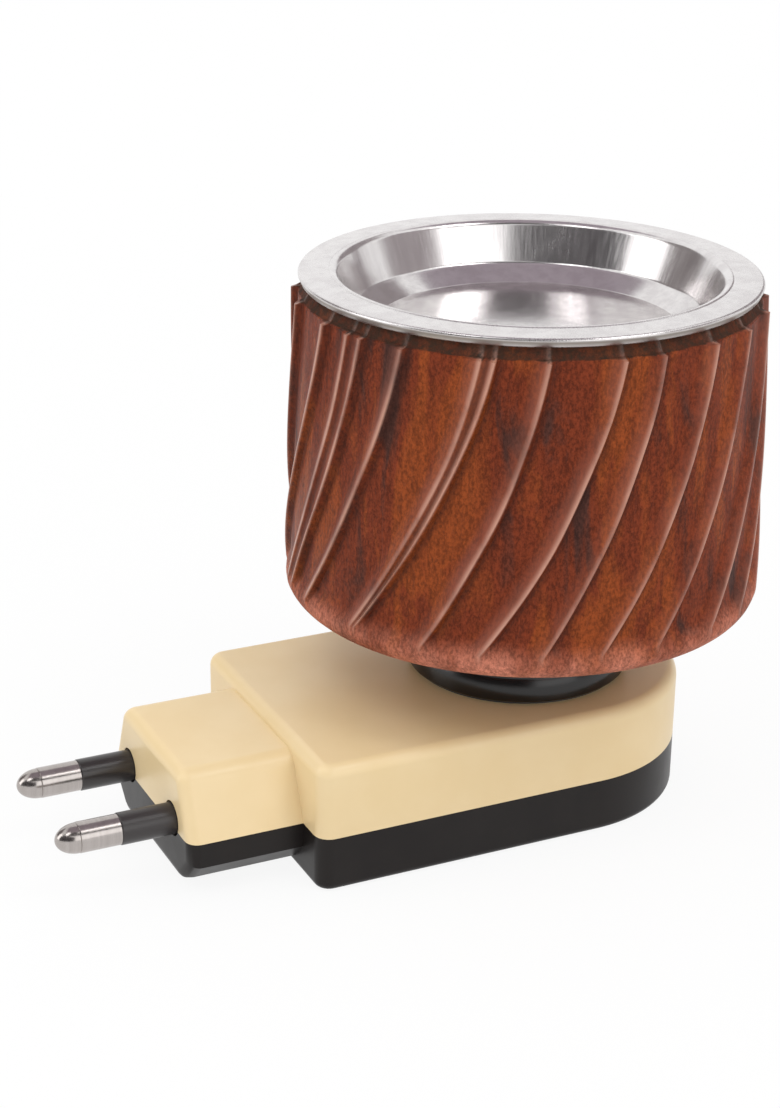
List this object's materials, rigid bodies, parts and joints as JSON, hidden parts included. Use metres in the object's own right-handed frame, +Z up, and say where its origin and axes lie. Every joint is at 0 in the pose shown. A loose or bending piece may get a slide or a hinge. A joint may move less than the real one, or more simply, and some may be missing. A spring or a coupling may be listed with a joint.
{
  "type": "electric camphor burner",
  "caption": "Plug-in electric camphor burner: a round-pin plug housing carries a black collar, a fluted wooden cup that swivels, and a lift-out metal dish over a small heater.",
  "frame": {"origin": "on the housing's flat base, under the axis of the cup", "axes": "+Z up along the cup's axis; +X from the plug pins to the housing's rounded end; +Y to the line pin's side"},
  "size_m": [0.1203, 0.0756, 0.087],
  "materials": {
    "cream_shell": "satin cream moulding",
    "dark_shell": "satin dark brown moulding",
    "insulator": "plain moulding",
    "nickel_pin": "bright nickel plate",
    "pin_sleeve": "satin",
    "brass": "plain",
    "lead_red": "insulated wire",
    "lead_blue": "insulated wire",
    "zinc_steel": "zinc plated",
    "glass_fibre": "woven sleeving",
    "black_collar": "high gloss black",
    "rosewood": "oiled, hand carved flutes",
    "heater_aluminium": "machined",
    "heater_ceramic": "unglazed",
    "mica": "mica sheet",
    "satin_dish": "spun satin"
  },
  "bodies": {
    "plug": {"upper_shell": "cream_shell", "lower_shell": "dark_shell", "pin_carrier": "insulator", "pin_backplate": "insulator", "pin_line": "nickel_pin", "pin_neutral": "nickel_pin", "sleeve_line": "pin_sleeve", "sleeve_neutral": "pin_sleeve", "terminal_line": "brass", "terminal_neutral": "brass", "lead_line_lower": "lead_red", "lead_neutral_lower": "lead_blue", "thrust_washer": "insulator", "housing_screw_1": "zinc_steel", "housing_screw_2": "zinc_steel", "housing_screw_3": "zinc_steel", "housing_screw_4": "zinc_steel"},
    "cup": {"spindle": "zinc_steel", "wave_washer": "zinc_steel", "sleeving": "glass_fibre", "collar": "black_collar", "collar_screw_1": "zinc_steel", "collar_screw_2": "zinc_steel", "collar_screw_3": "zinc_steel", "wood_cup": "rosewood", "liner": "zinc_steel", "base_plate": "zinc_steel", "lock_washer": "zinc_steel", "lock_nut": "zinc_steel", "standoff_1": "brass", "standoff_2": "brass", "standoff_3": "brass", "plate_screw_1": "zinc_steel", "plate_screw_2": "zinc_steel", "plate_screw_3": "zinc_steel", "heater_plate": "heater_aluminium", "heater_holder": "heater_ceramic", "holder_screw_1": "zinc_steel", "holder_screw_2": "zinc_steel", "heater_spring": "zinc_steel", "mica_lower": "mica", "electrode_lower": "brass", "ptc_element": "heater_ceramic", "electrode_upper": "brass", "mica_upper": "mica", "tab_terminal_line": "brass", "tab_terminal_neutral": "brass", "thermal_fuse": "heater_ceramic", "lead_line_upper": "lead_red", "lead_neutral_upper": "lead_blue"},
    "dish": {"dish": "satin_dish"}
  },
  "joints": [
    {"name": "cup_swivel", "type": "hinge", "parent": "plug", "child": "cup", "pos_m": [0, 0, 0.0215], "axis": [0, 0, 1], "range_deg": [-90, 90]},
    {"name": "dish_lift", "type": "slide", "parent": "cup", "child": "dish", "axis": [0, 0, 1], "range_m": [0, 0.05]}
  ]
}
